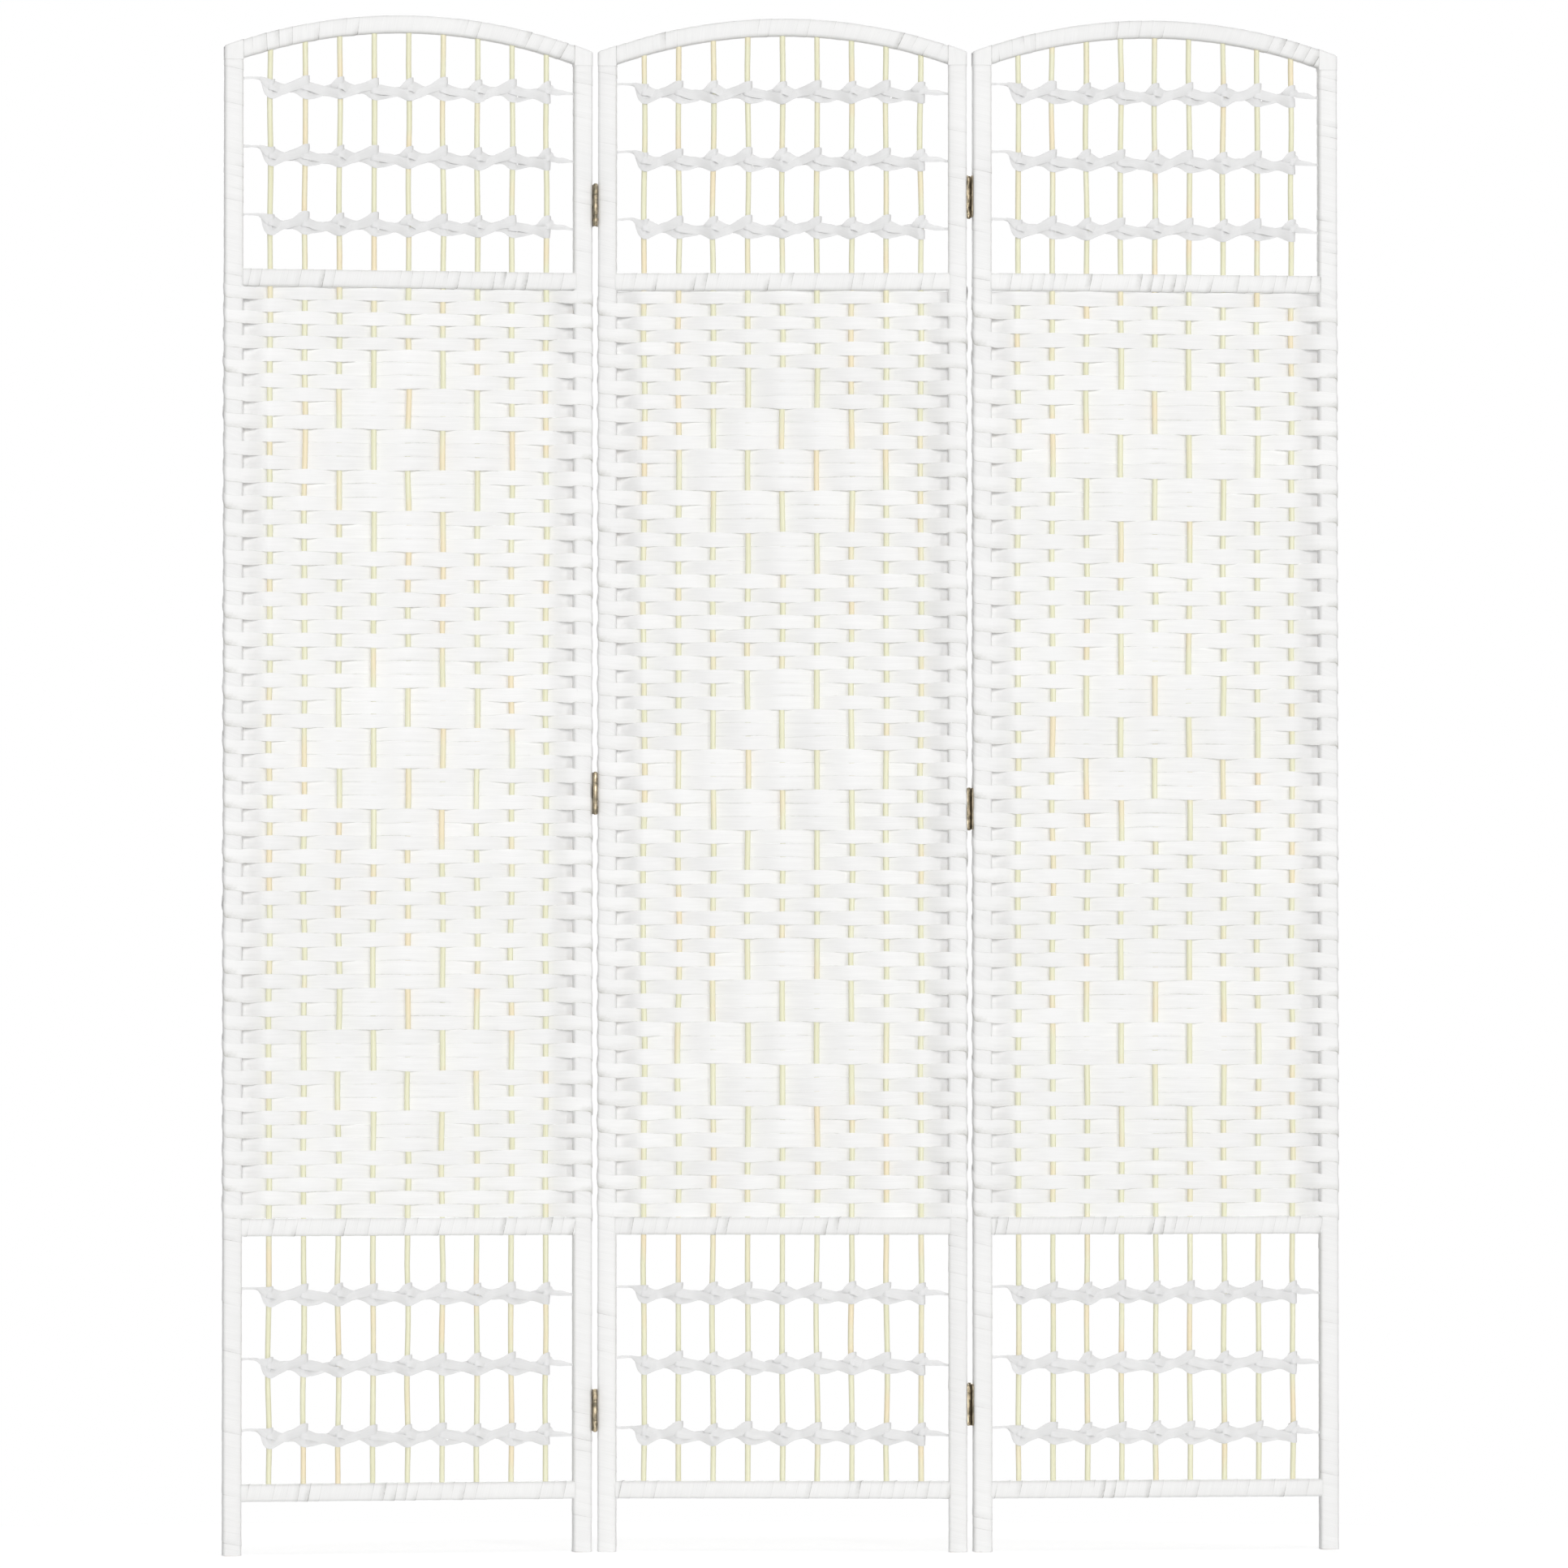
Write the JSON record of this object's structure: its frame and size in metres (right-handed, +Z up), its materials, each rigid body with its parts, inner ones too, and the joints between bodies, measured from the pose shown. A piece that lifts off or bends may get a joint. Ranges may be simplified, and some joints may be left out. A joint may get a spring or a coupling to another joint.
{
  "type": "folding screen",
  "caption": "Free-standing folding screen of arched wooden panels wrapped and woven with white paper ribbon, with open twisted-ribbon bands, joined by brass butt hinges.",
  "frame": {"origin": "on the floor, at the middle of the footprint of the screen as it stands at rest", "axes": "+Z up, +X along the middle panel towards the right panel, the front of the screen looks towards -Y"},
  "size_m": [1.2344, 0.1404, 1.7],
  "materials": {
    "frame_wood": "planed pine",
    "stick_wood": "pale yellow round sticks, bare, some warmer",
    "dowel_wood": "beech",
    "wrap_ribbon": "white paper ribbon with fine lengthwise creases, matt",
    "woven_ribbon": "white paper ribbon with fine lengthwise creases, matt",
    "twisted_ribbon": "white paper ribbon, twisted, slightly see-through, matt",
    "hinge_brass": "plain brass, satin",
    "screw_brass": "plain brass, satin"
  },
  "bodies": {
    "left_panel": {"left_panel_left_stile": "frame_wood", "left_panel_right_stile": "frame_wood", "left_panel_arch_rail": "frame_wood", "left_panel_upper_rail": "frame_wood", "left_panel_lower_rail": "frame_wood", "left_panel_bottom_rail": "frame_wood", "left_panel_left_stile_wrap": "wrap_ribbon", "left_panel_right_stile_wrap": "wrap_ribbon", "left_panel_arch_wrap": "wrap_ribbon", "left_panel_rail_wraps": "wrap_ribbon", "left_panel_sticks": "stick_wood", "left_panel_dowels": "dowel_wood", "left_panel_woven_ribbons": "woven_ribbon", "left_panel_upper_twists": "twisted_ribbon", "left_panel_lower_twists": "twisted_ribbon", "left_hinge_swing_leaves": "hinge_brass", "left_hinge_swing_screws": "screw_brass"},
    "middle_panel": {"middle_panel_left_stile": "frame_wood", "middle_panel_right_stile": "frame_wood", "middle_panel_arch_rail": "frame_wood", "middle_panel_upper_rail": "frame_wood", "middle_panel_lower_rail": "frame_wood", "middle_panel_bottom_rail": "frame_wood", "middle_panel_left_stile_wrap": "wrap_ribbon", "middle_panel_right_stile_wrap": "wrap_ribbon", "middle_panel_arch_wrap": "wrap_ribbon", "middle_panel_rail_wraps": "wrap_ribbon", "middle_panel_sticks": "stick_wood", "middle_panel_dowels": "dowel_wood", "middle_panel_woven_ribbons": "woven_ribbon", "middle_panel_upper_twists": "twisted_ribbon", "middle_panel_lower_twists": "twisted_ribbon", "left_hinge_fixed_leaves": "hinge_brass", "left_hinge_pins": "hinge_brass", "left_hinge_fixed_screws": "screw_brass", "right_hinge_fixed_leaves": "hinge_brass", "right_hinge_pins": "hinge_brass", "right_hinge_fixed_screws": "screw_brass"},
    "right_panel": {"right_panel_left_stile": "frame_wood", "right_panel_right_stile": "frame_wood", "right_panel_arch_rail": "frame_wood", "right_panel_upper_rail": "frame_wood", "right_panel_lower_rail": "frame_wood", "right_panel_bottom_rail": "frame_wood", "right_panel_left_stile_wrap": "wrap_ribbon", "right_panel_right_stile_wrap": "wrap_ribbon", "right_panel_arch_wrap": "wrap_ribbon", "right_panel_rail_wraps": "wrap_ribbon", "right_panel_sticks": "stick_wood", "right_panel_dowels": "dowel_wood", "right_panel_woven_ribbons": "woven_ribbon", "right_panel_upper_twists": "twisted_ribbon", "right_panel_lower_twists": "twisted_ribbon", "right_hinge_swing_leaves": "hinge_brass", "right_hinge_swing_screws": "screw_brass"}
  },
  "joints": [
    {"name": "left_fold", "type": "hinge", "parent": "middle_panel", "child": "left_panel", "pos_m": [-0.20808, -0.00281, 0], "axis": [0, 0, 1], "range_deg": [-10, 170]},
    {"name": "right_fold", "type": "hinge", "parent": "middle_panel", "child": "right_panel", "pos_m": [0.20592, 0.02399, 0], "axis": [0, 0, 1], "range_deg": [-7, 173]}
  ]
}
